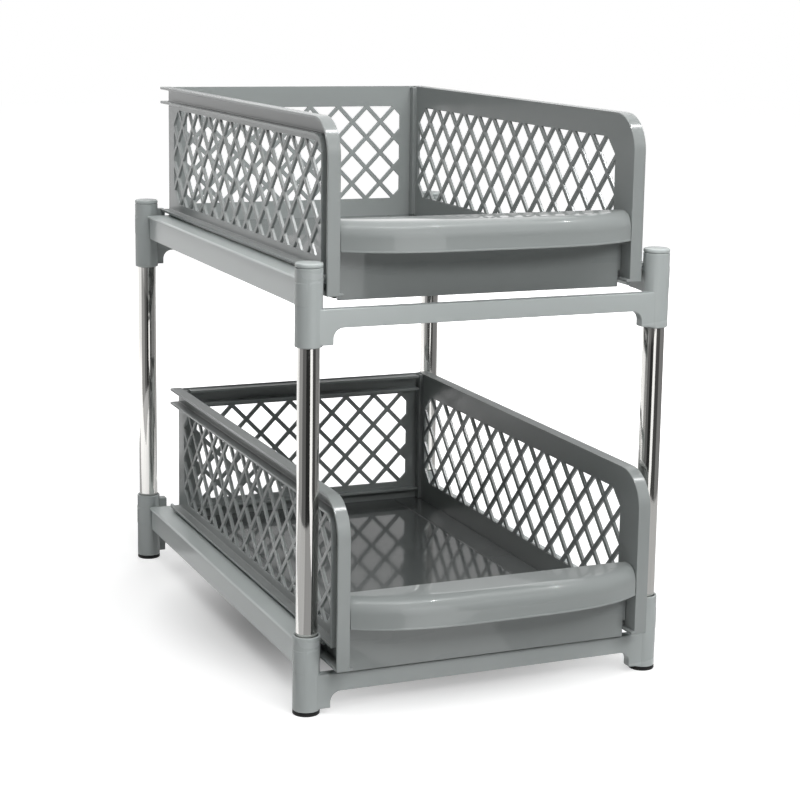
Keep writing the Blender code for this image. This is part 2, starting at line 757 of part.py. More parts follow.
def basket(tier, tier_height, pull, flanges_inward, stand, plastic):
    """One basket on its slide. The slide's holder is at the middle of the basket's front plane."""
    place = (0, BASKET_FRONT_CLOSED - pull, tier_height + BASKET_BASE)
    slide = holder(tier + "_basket_slide", place, stand)
    side_panel(tier + "_basket_left_side", -1, plastic, slide)
    side_panel(tier + "_basket_right_side", 1, plastic, slide)
    back_panel(tier + "_basket_back", plastic, slide, flanges_inward)
    floor_panel(tier + "_basket_floor", plastic, slide)
    front_panel(tier + "_basket_front", plastic, slide)


def build():
    clear_scene()
    plastic = finish("grey_plastic", GREY_COLOUR, GREY_ROUGHNESS_SHARE, 0)
    steel = finish("polished_steel", STEEL_COLOUR, STEEL_ROUGHNESS_SHARE, 1)
    rubber = finish("black_rubber", RUBBER_COLOUR, RUBBER_ROUGHNESS_SHARE, 0)
    stand = holder("stand", (0, STAND_SHIFT, 0))

    for tier, height in (("lower", LOWER_TIER), ("upper", UPPER_TIER)):
        level = holder(tier + "_tier", (0, 0, height), stand)
        shelf = tier == "upper"
        beam_piece(tier + "_front_beam", plastic, level, (0, -POST_Y, 0), 0, shelf, False)
        beam_piece(tier + "_rear_beam", plastic, level, (0, POST_Y, 0), math.pi, shelf, True)
        rail_piece(tier + "_left_rail", -1, plastic, level)
        rail_piece(tier + "_right_rail", 1, plastic, level)

    for corner, x, y in (
        ("front_left", -POST_X, -POST_Y),
        ("front_right", POST_X, -POST_Y),
        ("rear_left", -POST_X, POST_Y),
        ("rear_right", POST_X, POST_Y),
    ):
        post_tube("post_" + corner, steel, stand, x, y)
        foot_pad("foot_" + corner, rubber, stand, x, y)
        post_cap("cap_" + corner, plastic, stand, x, y)

    basket("lower", LOWER_TIER, LOWER_BASKET_PULL, True, stand, plastic)
    basket("upper", UPPER_TIER, 0, False, stand, plastic)


build()
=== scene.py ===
import math

import bmesh
import bpy
from mathutils import Matrix, Vector
from mathutils.geometry import delaunay_2d_cdt


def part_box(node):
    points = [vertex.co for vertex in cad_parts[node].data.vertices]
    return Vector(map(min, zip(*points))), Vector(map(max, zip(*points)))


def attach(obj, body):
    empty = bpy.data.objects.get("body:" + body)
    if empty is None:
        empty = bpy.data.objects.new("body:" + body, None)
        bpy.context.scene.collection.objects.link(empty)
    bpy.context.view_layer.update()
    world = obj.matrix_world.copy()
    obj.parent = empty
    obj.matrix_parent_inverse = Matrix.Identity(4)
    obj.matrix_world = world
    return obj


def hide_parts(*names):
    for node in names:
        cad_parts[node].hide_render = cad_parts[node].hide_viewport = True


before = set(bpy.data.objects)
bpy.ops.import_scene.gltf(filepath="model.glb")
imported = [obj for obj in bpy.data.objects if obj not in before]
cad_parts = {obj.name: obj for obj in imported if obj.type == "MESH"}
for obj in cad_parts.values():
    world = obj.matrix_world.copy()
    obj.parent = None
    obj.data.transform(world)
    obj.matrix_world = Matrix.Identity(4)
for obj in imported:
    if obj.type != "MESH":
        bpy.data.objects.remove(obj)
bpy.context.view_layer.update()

print("frame loaded:", len(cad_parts), "nodes")

corners = ("front_left", "front_right", "rear_left", "rear_right")
tiers = ("lower", "upper")
fit = 0.0003  # gap between pieces that push together
overrun = 0.002  # how far a cutter stands past what it cuts
weld = 0.000001  # points nearer than this are one
slack = 0.00001  # a point this near a plane lies in it


# Where things stand, read from the frame

def middleOf(nodeName):
    low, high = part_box(nodeName)
    return (low + high) / 2


frontPost = middleOf("post_front_right")
rearPost = middleOf("post_rear_right")
postX = frontPost.x
postHalfSpan = (rearPost.y - frontPost.y) / 2
standY = (rearPost.y + frontPost.y) / 2
tierZ = {tier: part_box(tier + "_front_beam")[0].z for tier in tiers}
basketCorner = {tier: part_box(tier + "_basket_left_side")[0] for tier in tiers}


# Mesh tools

roundSteps = 64  # sides of a round piece
roundedFrom = 34  # degrees: blunter edges get no radius
sharpFrom = {"moulded": 20, "turned": 50}  # degrees from which an edge is shaded as a sharp one


def asObject(name, bm):
    bmesh.ops.remove_doubles(bm, verts=bm.verts, dist=weld)
    bmesh.ops.recalc_face_normals(bm, faces=bm.faces)
    mesh = bpy.data.meshes.new(name)
    bm.to_mesh(mesh)
    bm.free()
    obj = bpy.data.objects.new(name, mesh)
    bpy.context.scene.collection.objects.link(obj)
    return obj


def settle(obj):  # turns the modifiers into plain mesh
    bpy.context.view_layer.update()
    seen = obj.evaluated_get(bpy.context.evaluated_depsgraph_get())
    mesh = bpy.data.meshes.new_from_object(seen)
    obj.modifiers.clear()
    old = obj.data
    obj.data = mesh
    bpy.data.meshes.remove(old)
    return obj


def carve(obj, tools, operation):
    for tool in tools:
        step = obj.modifiers.new("step", "BOOLEAN")
        step.operation = operation
        step.solver = "EXACT"
        step.object = tool
    settle(obj)
    for tool in tools:
        bpy.data.objects.remove(tool, do_unlink=True)
    return obj


def join(obj, tools):
    return carve(obj, tools, "UNION")


def cut(obj, tools):
    return carve(obj, tools, "DIFFERENCE")


def addBox(bm, low, high):
    low, high = Vector(low), Vector(high)
    place = Matrix.Translation((low + high) / 2) @ Matrix.Diagonal(high - low).to_4x4()
    bmesh.ops.create_cube(bm, size=1, matrix=place)


def boxes(*spans):  # any number of separate boxes in one tool
    bm = bmesh.new()
    for low, high in spans:
        addBox(bm, low, high)
    return asObject("boxes", bm)


def addPrism(bm, outline, start, end, place):
    near = [bm.verts.new(place(u, v, start)) for u, v in outline]
    far = [bm.verts.new(place(u, v, end)) for u, v in outline]
    bm.faces.new(near)
    bm.faces.new(far[::-1])
    for i in range(len(outline)):
        j = (i + 1) % len(outline)
        bm.faces.new((near[j], near[i], far[i], far[j]))


def prisms(outlines, start, end, place):
    bm = bmesh.new()
    for outline in outlines:
        addPrism(bm, outline, start, end, place)
    return asObject("prisms", bm)


def arc(centre, radius, start, end, steps):
    turns = [math.radians(start + (end - start) * i / steps) for i in range(steps + 1)]
    return [(centre[0] + radius * math.cos(t), centre[1] + radius * math.sin(t)) for t in turns]


def turned(name, profile, steps=roundSteps):  # spins a closed (radius, height) profile round Z
    bm = bmesh.new()
    rings = []
    for radius, height in profile:
        count = steps if radius > 0 else 1
        turns = [math.tau * i / count for i in range(count)]
        ring = [(radius * math.cos(t), radius * math.sin(t), height) for t in turns]
        rings.append([bm.verts.new(point) for point in ring])
    for one, two in zip(rings, rings[1:] + rings[:1]):
        if len(one) == len(two) == 1:
            continue
        for i in range(steps):
            j = (i + 1) % steps
            loop = [one[i % len(one)], one[j % len(one)], two[j % len(two)], two[i % len(two)]]
            bm.faces.new(dict.fromkeys(loop))
    return asObject(name, bm)


def roundBar(radius, bottom, top, x):
    bm = bmesh.new()
    place = Matrix.Translation((x, 0, (bottom + top) / 2))
    bmesh.ops.create_cone(
        bm,
        cap_ends=True,
        segments=roundSteps,
        radius1=radius,
        radius2=radius,
        depth=top - bottom,
        matrix=place,
    )
    return asObject("bar", bm)


# Every moulded edge gets a small radius, so that it catches the light as the real one does
def soften(obj, radius, segments=2, picks=None):
    bevel = obj.modifiers.new("softEdges", "BEVEL")
    bevel.width = radius
    bevel.segments = segments
    bevel.limit_method = "ANGLE"
    bevel.angle_limit = math.radians(roundedFrom)
    if picks is not None:  # only the edges with both ends picked
        mesh = obj.data
        weights = mesh.attributes.new("bevel_weight_edge", "FLOAT", "EDGE")
        for edge in mesh.edges:
            weights.data[edge.index].value = all(picks(mesh.vertices[k].co) for k in edge.vertices)
        bevel.limit_method = "WEIGHT"
    bevel.use_clamp_overlap = False
    return settle(obj)


# Flat faces stay flat, and turned and curved ones shade round
def evenShading(obj, kind="moulded"):
    obj.data.shade_smooth()
    obj.data.set_sharp_from_angle(angle=math.radians(sharpFrom[kind]))
    return obj


def dress(obj, name, material, body, node):
    obj.name = name
    obj.data.name = name
    obj.data.materials.clear()
    obj.data.materials.append(material)
    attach(obj, body)
    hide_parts(node)
    return obj


# Materials

noiseMiddle = (0.3, 0.7)  # where most of a noise's values lie


def addNode(tree, kind, **inputs):
    made = tree.nodes.new(kind)
    for key, value in inputs.items():
        if key in made.inputs:
            made.inputs[key].default_value = value
        else:
            setattr(made, key, value)
    return made


def noiseAt(tree, coords, perMetre, detail, stretch=(1, 1, 1)):
    mapping = addNode(tree, "ShaderNodeMapping")
    mapping.inputs["Scale"].default_value = stretch
    noise = addNode(tree, "ShaderNodeTexNoise")
    noise.inputs["Scale"].default_value = perMetre
    noise.inputs["Detail"].default_value = detail
    tree.links.new(coords, mapping.inputs["Vector"])
    tree.links.new(mapping.outputs["Vector"], noise.inputs["Vector"])
    return noise.outputs["Fac"]


def spread(tree, source, low, high):  # turns a noise into values from low to high
    ranged = addNode(tree, "ShaderNodeMapRange")
    ranged.inputs["From Min"].default_value = noiseMiddle[0]
    ranged.inputs["From Max"].default_value = noiseMiddle[1]
    ranged.inputs["To Min"].default_value = low
    ranged.inputs["To Max"].default_value = high
    tree.links.new(source, ranged.inputs["Value"])
    return ranged.outputs["Result"]


def bumpOn(tree, height, distance, below=None):
    bump = addNode(tree, "ShaderNodeBump")
    bump.inputs["Strength"].default_value = 1.0
    bump.inputs["Distance"].default_value = distance
    tree.links.new(height, bump.inputs["Height"])
    if below is not None:
        tree.links.new(below, bump.inputs["Normal"])
    return bump.outputs["Normal"]


def startMaterial(name):
    material = bpy.data.materials.new(name)
    material.use_nodes = True
    tree = material.node_tree
    shader = tree.nodes["Principled BSDF"]
    coords = addNode(tree, "ShaderNodeTexCoord").outputs["Object"]
    return material, tree, shader, coords


def tintBy(tree, shader, share, colour, swing):
    mix = addNode(tree, "ShaderNodeMix", data_type="RGBA")
    dark = tuple(c * (1 - swing) for c in colour) + (1,)
    pale = tuple(min(1, c * (1 + swing)) for c in colour) + (1,)
    mix.inputs[6].default_value = dark  # 6, 7 and output 2 are the node's colour sockets
    mix.inputs[7].default_value = pale
    tree.links.new(share, mix.inputs[0])
    tree.links.new(mix.outputs[2], shader.inputs["Base Color"])


mouldedGrey = {
    "colour": (0.395, 0.425, 0.421),
    "colourSwing": 0.02,
    "cloudsPerMetre": 14,
    "roughness": (0.22, 0.28),
    "patchesPerMetre": 60,
    "grainPerMetre": 2600,
    "grainHeight": 0.000008,
    "sinkPerMetre": 22,
    "sinkHeight": 0.00005,
    "gloss": 0.5,
    "polish": 0.0,  # how much of a second, sharper gloss lies on top
    "polishRoughness": 0.035,
    "stretch": (1, 1, 1),
}
alongX, alongY = (0.15, 1, 1), (1, 0.15, 1)  # draws the marks out along the piece
# what the plastic of a piece has apart from the rest; the colours are partly painted light and
# shade: the rails are lighter, and the basket's sides, grips and most of all floors darker, than
# the plastic itself
piecePlasticWithPaintedLight = {
    "side": {"stretch": alongY, "colour": (0.280, 0.300, 0.296), "roughness": (0.17, 0.25)},
    "back": {"stretch": alongX, "colour": (0.330, 0.354, 0.350), "roughness": (0.17, 0.25)},
    "grip": {
        "stretch": alongX,
        "colour": (0.268, 0.288, 0.284),
        "roughness": (0.26, 0.32),
        "gloss": 0.15,
        "polish": 1.0,
    },
    # painted shade: the basket floor's colour is much darker than its plastic
    "floor": {
        "stretch": alongY,
        "colour": (0.148, 0.159, 0.157),
        "roughness": (0.05, 0.08),
        "sinkHeight": 0.00004,
        "polish": 0.5,
    },
    "beam": {"stretch": alongX},
    # painted light: the rail's colour is lighter than its plastic
    "rail": {"stretch": alongY, "colour": (0.605, 0.650, 0.643), "roughness": (0.14, 0.2)},
    "cap": {"colour": (0.490, 0.528, 0.522), "cloudsPerMetre": 60},
}


def mouldedPlastic(name, changes):
    v = {**mouldedGrey, **changes}
    stretch = v["stretch"]
    material, tree, shader, coords = startMaterial(name)
    clouds = noiseAt(tree, coords, v["cloudsPerMetre"], detail=4, stretch=stretch)
    tintBy(tree, shader, spread(tree, clouds, 0, 1), v["colour"], v["colourSwing"])
    patches = noiseAt(tree, coords, v["patchesPerMetre"], detail=5, stretch=stretch)
    tree.links.new(spread(tree, patches, *v["roughness"]), shader.inputs["Roughness"])
    sinks = noiseAt(tree, coords, v["sinkPerMetre"], detail=1, stretch=stretch)
    sunk = bumpOn(tree, sinks, v["sinkHeight"])
    grain = noiseAt(tree, coords, v["grainPerMetre"], detail=2)
    tree.links.new(bumpOn(tree, grain, v["grainHeight"], sunk), shader.inputs["Normal"])
    shader.inputs["Specular IOR Level"].default_value = v["gloss"]
    shader.inputs["Coat Weight"].default_value = v["polish"]
    shader.inputs["Coat Roughness"].default_value = v["polishRoughness"]
    return material


drawnSteel = {
    "colour": (0.80, 0.79, 0.765),
    "colourSwing": 0.02,
    "roughness": (0.055, 0.11),
    "linesPerMetre": 900,
    "lineHeight": 0.0000015,
    "stretch": (1, 1, 0.02),  # polishing lines run up the tube
}


def polishedSteel(name):
    v = drawnSteel
    material, tree, shader, coords = startMaterial(name)
    shader.inputs["Metallic"].default_value = 1.0
    lines = noiseAt(tree, coords, v["linesPerMetre"], detail=3, stretch=v["stretch"])
    tintBy(tree, shader, spread(tree, lines, 0, 1), v["colour"], v["colourSwing"])
    tree.links.new(spread(tree, lines, *v["roughness"]), shader.inputs["Roughness"])
    tree.links.new(bumpOn(tree, lines, v["lineHeight"]), shader.inputs["Normal"])
    return material


footRubber = {
    "colour": (0.010, 0.010, 0.010),
    "colourSwing": 0.2,
    "roughness": (0.42, 0.6),
    "gloss": 0.22,
    "grainPerMetre": 1800,
    "grainHeight": 0.00003,
}


def blackRubber(name):
    v = footRubber
    material, tree, shader, coords = startMaterial(name)
    shader.inputs["Specular IOR Level"].default_value = v["gloss"]
    grain = noiseAt(tree, coords, v["grainPerMetre"], detail=4)
    tintBy(tree, shader, spread(tree, grain, 0, 1), v["colour"], v["colourSwing"])
    tree.links.new(spread(tree, grain, *v["roughness"]), shader.inputs["Roughness"])
    tree.links.new(bumpOn(tree, grain, v["grainHeight"]), shader.inputs["Normal"])
    return material


plastic = {piece: mouldedPlastic(piece + "Plastic", pieceSettings) for piece, pieceSettings in piecePlasticWithPaintedLight.items()}
steel = polishedSteel("postSteel")
rubber = blackRubber("footRubber")
print("materials made")


# Basket sides: a lattice web with a double flange round it

side = {
    "inner": 0.1157,  # half the basket's inner width
    "web": 0.0023,
    "flange": 0.0022,
    "flangeReach": 0.0076,
    "length": 0.4195,
    "height": 0.1245,
    "cornerRadius": 0.028,
    "cornerSteps": 18,
    "loopInset": 0.0123,
    "runnerChannel": 0.0143,
    "ledgeReach": 0.0028,
    "ribReach": 0.0035,
    "ribDrop": 0.0008,
    "frontRib": 0.0072,
    "rearRib": 0.0025,
    "windowFront": 0.029,
    "windowRearMargin": 0.017,
    "windowBottom": 0.0235,
    "windowTopMargin": 0.019,
    "windowChamfer": 0.013,
    "pitchLength": 0.02925,
    "pitchHeight": 0.0309,
    "nodeFront": 0.0271,
    "nodeDrop": 0.012,
    "edge": 0.0006,
}
lattice = {"strand": 0.0036, "smallestHole": 0.0042, "edge": 0.00035}
innerHalf = side["inner"] - fit


def clipLine(polygon, p, q):  # keeps what lies left of the line from p to q
    def depth(point):
        return (q[0] - p[0]) * (point[1] - p[1]) - (q[1] - p[1]) * (point[0] - p[0])

    kept = []
    for a, b in zip(polygon, polygon[1:] + polygon[:1]):
        if depth(a) > 0:
            kept.append(a)
        if (depth(a) > 0) != (depth(b) > 0):
            share = depth(a) / (depth(a) - depth(b))
            kept.append((a[0] + (b[0] - a[0]) * share, a[1] + (b[1] - a[1]) * share))
    return kept


def areaOf(polygon):  # positive where the points run anticlockwise
    return sum(a[0] * b[1] - b[0] * a[1] for a, b in zip(polygon, polygon[1:] + polygon[:1])) / 2


# The holes between the strands, cut off at the window; two strands cross at the point crossing
def latticeHoles(window, crossing, pitchLength, pitchHeight):
    half = (pitchLength / 2, pitchHeight / 2)
    strandShare = lattice["strand"] / 2 * math.hypot(1 / half[0], 1 / half[1])
    reachX, reachY = half[0] * (1 - strandShare), half[1] * (1 - strandShare)

    def halfPitches(axis):  # counted from the crossing, over the whole window
        places = [p[axis] for p in window]
        first = math.floor((min(places) - crossing[axis]) / half[axis]) - 1
        return range(first, math.ceil((max(places) - crossing[axis]) / half[axis]) + 2)

    holes = []
    for row in halfPitches(1):
        for column in halfPitches(0):
            if (row + column) % 2 == 0:
                continue
            x, y = crossing[0] + column * half[0], crossing[1] + row * half[1]
            hole = [(x + reachX, y), (x, y + reachY), (x - reachX, y), (x, y - reachY)]
            for p, q in zip(window, window[1:] + window[:1]):
                hole = clipLine(hole, p, q) if len(hole) > 2 else []
            hole = [a for a, b in zip(hole, hole[1:] + hole[:1]) if math.dist(a, b) > weld]
            if len(hole) > 2 and abs(areaOf(hole)) > lattice["smallestHole"] ** 2:
                holes.append(hole)
    return holes


def grown(outline, reach):  # moves each edge of an outline out by reach
    lines = []
    for a, b in zip(outline, outline[1:] + outline[:1]):
        across, along = b[0] - a[0], b[1] - a[1]
        share = reach / math.hypot(across, along)
        lines.append((a[0] + along * share, a[1] - across * share, across, along))
    points = []
    for (ax, ay, au, av), (bx, by, bu, bv) in zip(lines[-1:] + lines[:-1], lines):
        share = ((bx - ax) * bv - (by - ay) * bu) / (au * bv - av * bu)
        points.append((ax + au * share, ay + av * share))
    return points


# Shares of the edge radius: how deep a step of a hole's rim lies, and how far it is grown there
rimShares = ((0, 1), (0.3, 0.29), (1, 0))


# Opens holes with rounded rims in the web that lies between near and far
def pierce(panel, holes, near, far, place):
    edge = lattice["edge"]
    steps = [(near + edge * deep, edge * wide) for deep, wide in rimShares]
    steps += [(far - edge * deep, edge * wide) for deep, wide in rimShares[::-1]]
    bm = bmesh.new()
    bm.from_mesh(panel.data)
    rims = []
    for hole in holes:
        rings = []
        for level, wide in steps:
            rings.append([bm.verts.new(place(u, v, level)) for u, v in grown(hole, wide)])
        rims.append(rings)
        for one, two in zip(rings, rings[1:]):
            for i in range(len(hole)):
                j = (i + 1) % len(hole)
                bm.faces.new((one[i], one[j], two[j], two[i]))
    along, up, across = (place(*unit) for unit in ((1, 0, 0), (0, 1, 0), (0, 0, 1)))
    insideOnly = 1  # makes triangles within the outlines only
    for level, ring in ((near, 0), (far, -1)):
        flat = [f for f in bm.faces if all(abs(v.co.dot(across) - level) < slack for v in f.verts)]
        wall = max(flat, key=lambda f: f.calc_area())
        loops = [list(wall.verts)] + [rings[ring] for rings in rims]
        bm.faces.remove(wall)
        points, borders, outlines = [], [], []
        for loop in loops:
            if areaOf([(v.co.dot(along), v.co.dot(up)) for v in loop]) < 0:
                loop = loop[::-1]
            first, count = len(points), len(loop)
            points += loop
            outlines.append(range(first, first + count))
            borders += [(first + i, first + (i + 1) % count) for i in range(count)]
        spots = [Vector((v.co.dot(along), v.co.dot(up))) for v in points]
        filled = delaunay_2d_cdt(spots, borders, outlines, insideOnly, weld / 10)
        _, _, faces, origins, _, owners = filled
        for face, owner in zip(faces, owners):
            if list(owner) == [0]:  # inside the web's outline, and in no hole
                bm.faces.new([points[origins[k][0]] for k in face])
    bmesh.ops.recalc_face_normals(bm, faces=bm.faces)
    bm.to_mesh(panel.data)
    bm.free()
    return panel


# Along the bottom, up the front, round the corner and back along the top
def sidePath(inset, low):
    radius = side["cornerRadius"] - inset
    centre = (inset + radius, side["height"] - inset - radius)
    path = [(side["length"], low), (inset, low)]
    path += arc(centre, radius, 180, 90, side["cornerSteps"])
    path.append((side["length"], side["height"] - inset))
    return path


# Places a panel so far back from its basket's front end, and dresses it
def intoBasket(panel, tier, name, node, material, setBack=0):
    corner, body = basketCorner[tier], tier + "_basket"
    panel.location = (0, corner.y + setBack, corner.z)
    return dress(panel, tier + "Basket" + name, material, body, body + "_" + node)


def makeSide(tier, name, hand):
    v = side
    inner, outer = v["inner"], v["inner"] + v["web"]
    reach = outer + v["flangeReach"]
    root = (inner + outer) / 2

    def place(u, w, x):
        return Vector((hand * x, u, w))

    rear, top = v["length"] - v["windowRearMargin"], v["height"] - v["windowTopMargin"]
    low, near, nip = v["windowBottom"], v["windowFront"], v["windowChamfer"]
    window = [
        (near + nip, low), (rear - nip, low), (rear, low + nip), (rear, top - nip),
        (rear - nip, top), (near + nip, top), (near, top - nip), (near, low + nip),
    ]
    crossing = (near + v["nodeFront"], top - v["nodeDrop"])
    holes = latticeHoles(window, crossing, v["pitchLength"], v["pitchHeight"])
    web = prisms([sidePath(0, 0)], inner, outer, place)
    thick, channel, inset = v["flange"], v["runnerChannel"], v["loopInset"]
    outerLoop = sidePath(0, 0) + sidePath(thick, thick)[::-1]
    innerLoop = sidePath(inset, channel) + sidePath(inset + thick, channel + thick)[::-1]
    loops = [prisms([loop], root, reach, place) for loop in (outerLoop, innerLoop)]

    def inside(reachIn, y0, y1, z0, z1):
        x0, x1 = sorted((hand * (inner - reachIn), hand * root))
        return boxes(((x0, y0, z0), (x1, y1, z1)))

    ribFront, ribTop = backFront - fit - v["frontRib"], v["height"] - v["ribDrop"]
    ribs = [
        inside(v["ledgeReach"], 0, v["length"], 0, thick),
        inside(v["ribReach"], ribFront, backFront - fit, floorTop + fit, ribTop),
        inside(v["ribReach"], v["length"] - v["rearRib"], v["length"], thick / 2, ribTop),
    ]
    panel = soften(join(web, loops + ribs), v["edge"])
    panel = evenShading(pierce(panel, holes, inner, outer, place))
    return intoBasket(panel, tier, "Side" + name.title(), name + "_side", plastic["side"])


# Basket back: the same lattice between three flanges

back = {
    "thickness": 0.0022,
    "flangeReach": 0.0098,
    "flangeSideMargin": 0.0052,
    "flangeDrop": 0.0008,
    "windowSideMargin": 0.0134,
    "windowBottom": 0.021,
    "windowTopMargin": 0.0185,
    "pitchLength": 0.0277,
    "pitchRows": 3,
    "edge": 0.00035,
}
backFront = side["length"] - side["rearRib"] - fit - back["thickness"]


def rectangle(half, low, high):
    return [(-half, low), (half, low), (half, high), (-half, high)]


def makeBack(tier):
    v = back
    low, top = v["windowBottom"], side["height"] - v["windowTopMargin"]
    window = rectangle(side["inner"] - v["windowSideMargin"], low, top)
    pitchHeight = (top - low) / v["pitchRows"]
    holes = latticeHoles(window, (v["pitchLength"] / 2, top), v["pitchLength"], pitchHeight)
    middle = v["thickness"] / 2

    def place(u, w, y):
        return Vector((u, y, w))

    height, thick = side["height"], side["flange"]
    web = prisms([rectangle(innerHalf, floorBottom, height)], -middle, middle, place)
    flangeHalf, reach = side["inner"] - v["flangeSideMargin"], middle + v["flangeReach"]
    tops = (height - v["flangeDrop"], height - side["loopInset"], side["runnerChannel"] + thick)
    flanges = [boxes(((-flangeHalf, 0, z - thick), (flangeHalf, reach, z))) for z in tops]
    panel = soften(join(web, flanges), v["edge"])
    panel = evenShading(pierce(panel, holes, -middle, middle, place))
    if tier == "lower":  # there it is fitted the other way round
        panel.rotation_euler = (0, 0, math.pi)
    return intoBasket(panel, tier, "Back", "back", plastic["back"], backFront + middle)


# Front wall with its curled grip

front = {
    "wall": 0.0025,
    "setback": 0.013,
    "footReach": 0.006,
    "gripBottom": 0.031,
    "gripTop": 0.0528,
    "bulge": 0.020,
    "bulgePower": 3.8,
    "round": 0.0118,
    "shell": 0.0024,
    "backLip": 0.002,
    "hem": 0.0004,  # the low bead along the grip's lower edge
    "hemHeight": 0.0011,
    "stations": 49,
    "roundSteps": 10,
    "tabReach": 0.018,
    "tabHeight": 0.020,
    "tabLift": 0.002,
    "edge": 0.00035,
}


def gripSection(bulge):
    v = front
    outer, inner = v["round"], v["round"] - v["shell"]
    centre = (outer + v["hem"] - bulge, v["gripTop"] - outer)
    rear = v["setback"] + v["wall"] + v["backLip"]
    section = [(rear, v["gripTop"])] + arc(centre, outer, 90, 180, v["roundSteps"])
    low, hemTop = v["gripBottom"], v["gripBottom"] + v["hemHeight"]
    section += [(centre[0] - outer, hemTop + v["hem"]), (-bulge, hemTop), (-bulge, low)]
    section += [(centre[0] - inner, low)] + arc(centre, inner, 180, 90, v["roundSteps"])
    section += [(rear, centre[1] + inner)]
    return section


def gripShell():
    bm = bmesh.new()
    rings = []
    for i in range(front["stations"]):
        across = -math.cos(math.pi * i / (front["stations"] - 1))
        bulge = front["bulge"] * (1 - abs(across) ** front["bulgePower"])
        rings.append([bm.verts.new((innerHalf * across, y, z)) for y, z in gripSection(bulge)])
    for left, right in zip(rings, rings[1:]):
        for j in range(len(left)):
            k = (j + 1) % len(left)
            bm.faces.new((left[j], left[k], right[k], right[j]))
    bm.faces.new(rings[0])
    bm.faces.new(rings[-1])
    return asObject("grip", bm)


def makeFront(tier):
    v = front
    half = side["inner"] - floor["sideGap"]
    wallRear = v["setback"] + v["wall"]
    root = v["setback"] + v["wall"] / 2
    wallTop = v["gripTop"] - v["shell"] / 2
    wall = boxes(((-half, v["setback"], -floor["ribDepth"]), (half, wallRear, wallTop)))
    footHalf, footRear = half - side["ledgeReach"], wallRear + v["footReach"]
    tools = [gripShell(), boxes(((-footHalf, root, 0), (footHalf, footRear, side["flange"])))]
    low = floorTop + v["tabLift"]
    for hand in (-1, 1):
        x0, x1 = sorted((hand * (half - v["wall"]), hand * innerHalf))
        tools.append(boxes(((x0, root, low), (x1, wallRear + v["tabReach"], low + v["tabHeight"]))))
    panel = evenShading(soften(join(wall, tools), v["edge"]))
    return intoBasket(panel, tier, "Front", "front", plastic["grip"])


# Basket floor: a plate with ribs below and shallow grooves on top

floor = {
    "thickness": 0.0025,
    "ribDepth": 0.005,
    "rib": 0.002,
    "sideGap": 0.0032,
    "cellsAcross": 2,
    "cellsAlong": 4,
    "grooveInset": 0.026,
    "grooveWidth": 0.0012,
    "grooveDepth": 0.0005,
    "edge": 0.0003,
}
floorBottom = side["flange"] + fit
floorTop = floorBottom + floor["thickness"]


def makeFloor(tier):
    v = floor
    start = front["setback"] + front["wall"] + fit
    end = backFront - fit
    plate = boxes(((-innerHalf, start, floorBottom), (innerHalf, end, floorTop)))
    half = side["inner"] - v["sideGap"]
    ribStart = start + front["footReach"] + fit
    ribs = boxes(((-half, ribStart, -v["ribDepth"]), (half, end, floorBottom + v["thickness"] / 2)))
    cellX = (2 * half - v["rib"]) / v["cellsAcross"]
    cellY = (end - ribStart - v["rib"]) / v["cellsAlong"]
    cells = []
    for i in range(v["cellsAcross"]):
        for j in range(v["cellsAlong"]):
            x, y = -half + v["rib"] + i * cellX, ribStart + v["rib"] + j * cellY
            far = (x + cellX - v["rib"], y + cellY - v["rib"], floorBottom)
            cells.append(((x, y, -v["ribDepth"] - overrun), far))
    panel = join(plate, [cut(ribs, [boxes(*cells)])])
    grooveX, halfGroove = side["inner"] - v["grooveInset"], v["grooveWidth"] / 2
    grooveZ, over, middle = floorTop - v["grooveDepth"], floorTop + overrun, side["length"] / 2
    long, cross = [], []
    for hand in (-1, 1):
        x = hand * grooveX
        far = (x + halfGroove, end + overrun, over)
        long.append(((x - halfGroove, start - overrun, grooveZ), far))
        x0, x1 = sorted((x, hand * (innerHalf + overrun)))
        cross.append(((x0, middle - halfGroove, grooveZ), (x1, middle + halfGroove, over)))
    panel = evenShading(soften(cut(panel, [boxes(*long), boxes(*cross)]), v["edge"]))
    return intoBasket(panel, tier, "Floor", "floor", plastic["floor"])


for tier in tiers:
    makeSide(tier, "left", -1)
    makeSide(tier, "right", 1)
    makeBack(tier)
    makeFloor(tier)
    makeFront(tier)
    print(tier, "basket made")


# Beams, with a sleeve at each end

sleeve = {
    "radius": 0.010,
    "bore": 0.0083,
    "height": 0.0561,
    "shelfBottom": 0.046,
    "shelfTop": 0.0485,
    "padBottom": 0.0293,
    "padTop": 0.0457,
    "padHalfAngle": 66,
    "padFade": 24,  # degrees at each side over which it sinks into the sleeve
    "padRise": 0.00022,
    "padEndShare": 0.15,  # share of the rise that is left at its ends
    "padSteps": 24,
}
beam = {
    "setback": 0.0013,
    "depth": 0.0085,
    "bottom": 0.0135,
    "height": 0.0135,
    "wall": 0.0024,
    "cells": 6,
    "gussetFoot": 0.0015,
    "gussetReach": 0.0057,
    "gussetFillet": 0.0077,
    "gussetSteps": 14,
    "edge": 0.0006,
    "frontEdge": 0.0011,  # radius of the edge that shows along its top
    "frontEdgeSegments": 3,
}
seat = {"length": 0.012, "width": 0.0068, "rise": 0.0015}  # a rail's end lies on it
stop = {"grip": 0.004, "rise": 0.0022}  # the closing basket meets it
basketHalf = side["inner"] + side["web"] + side["flangeReach"]
basketBase = basketCorner["upper"].z - tierZ["upper"]


def beamOutline():
    v = beam
    edge = postX - sleeve["radius"] - v["gussetReach"]
    centre = (edge - v["gussetFillet"], v["bottom"] - v["gussetFillet"])
    right = [(postX, v["bottom"] + v["height"]), (postX, v["gussetFoot"]), (edge, v["gussetFoot"])]
    right += arc(centre, v["gussetFillet"], 0, 90, v["gussetSteps"])
    return right + [(-x, z) for x, z in right][::-1]


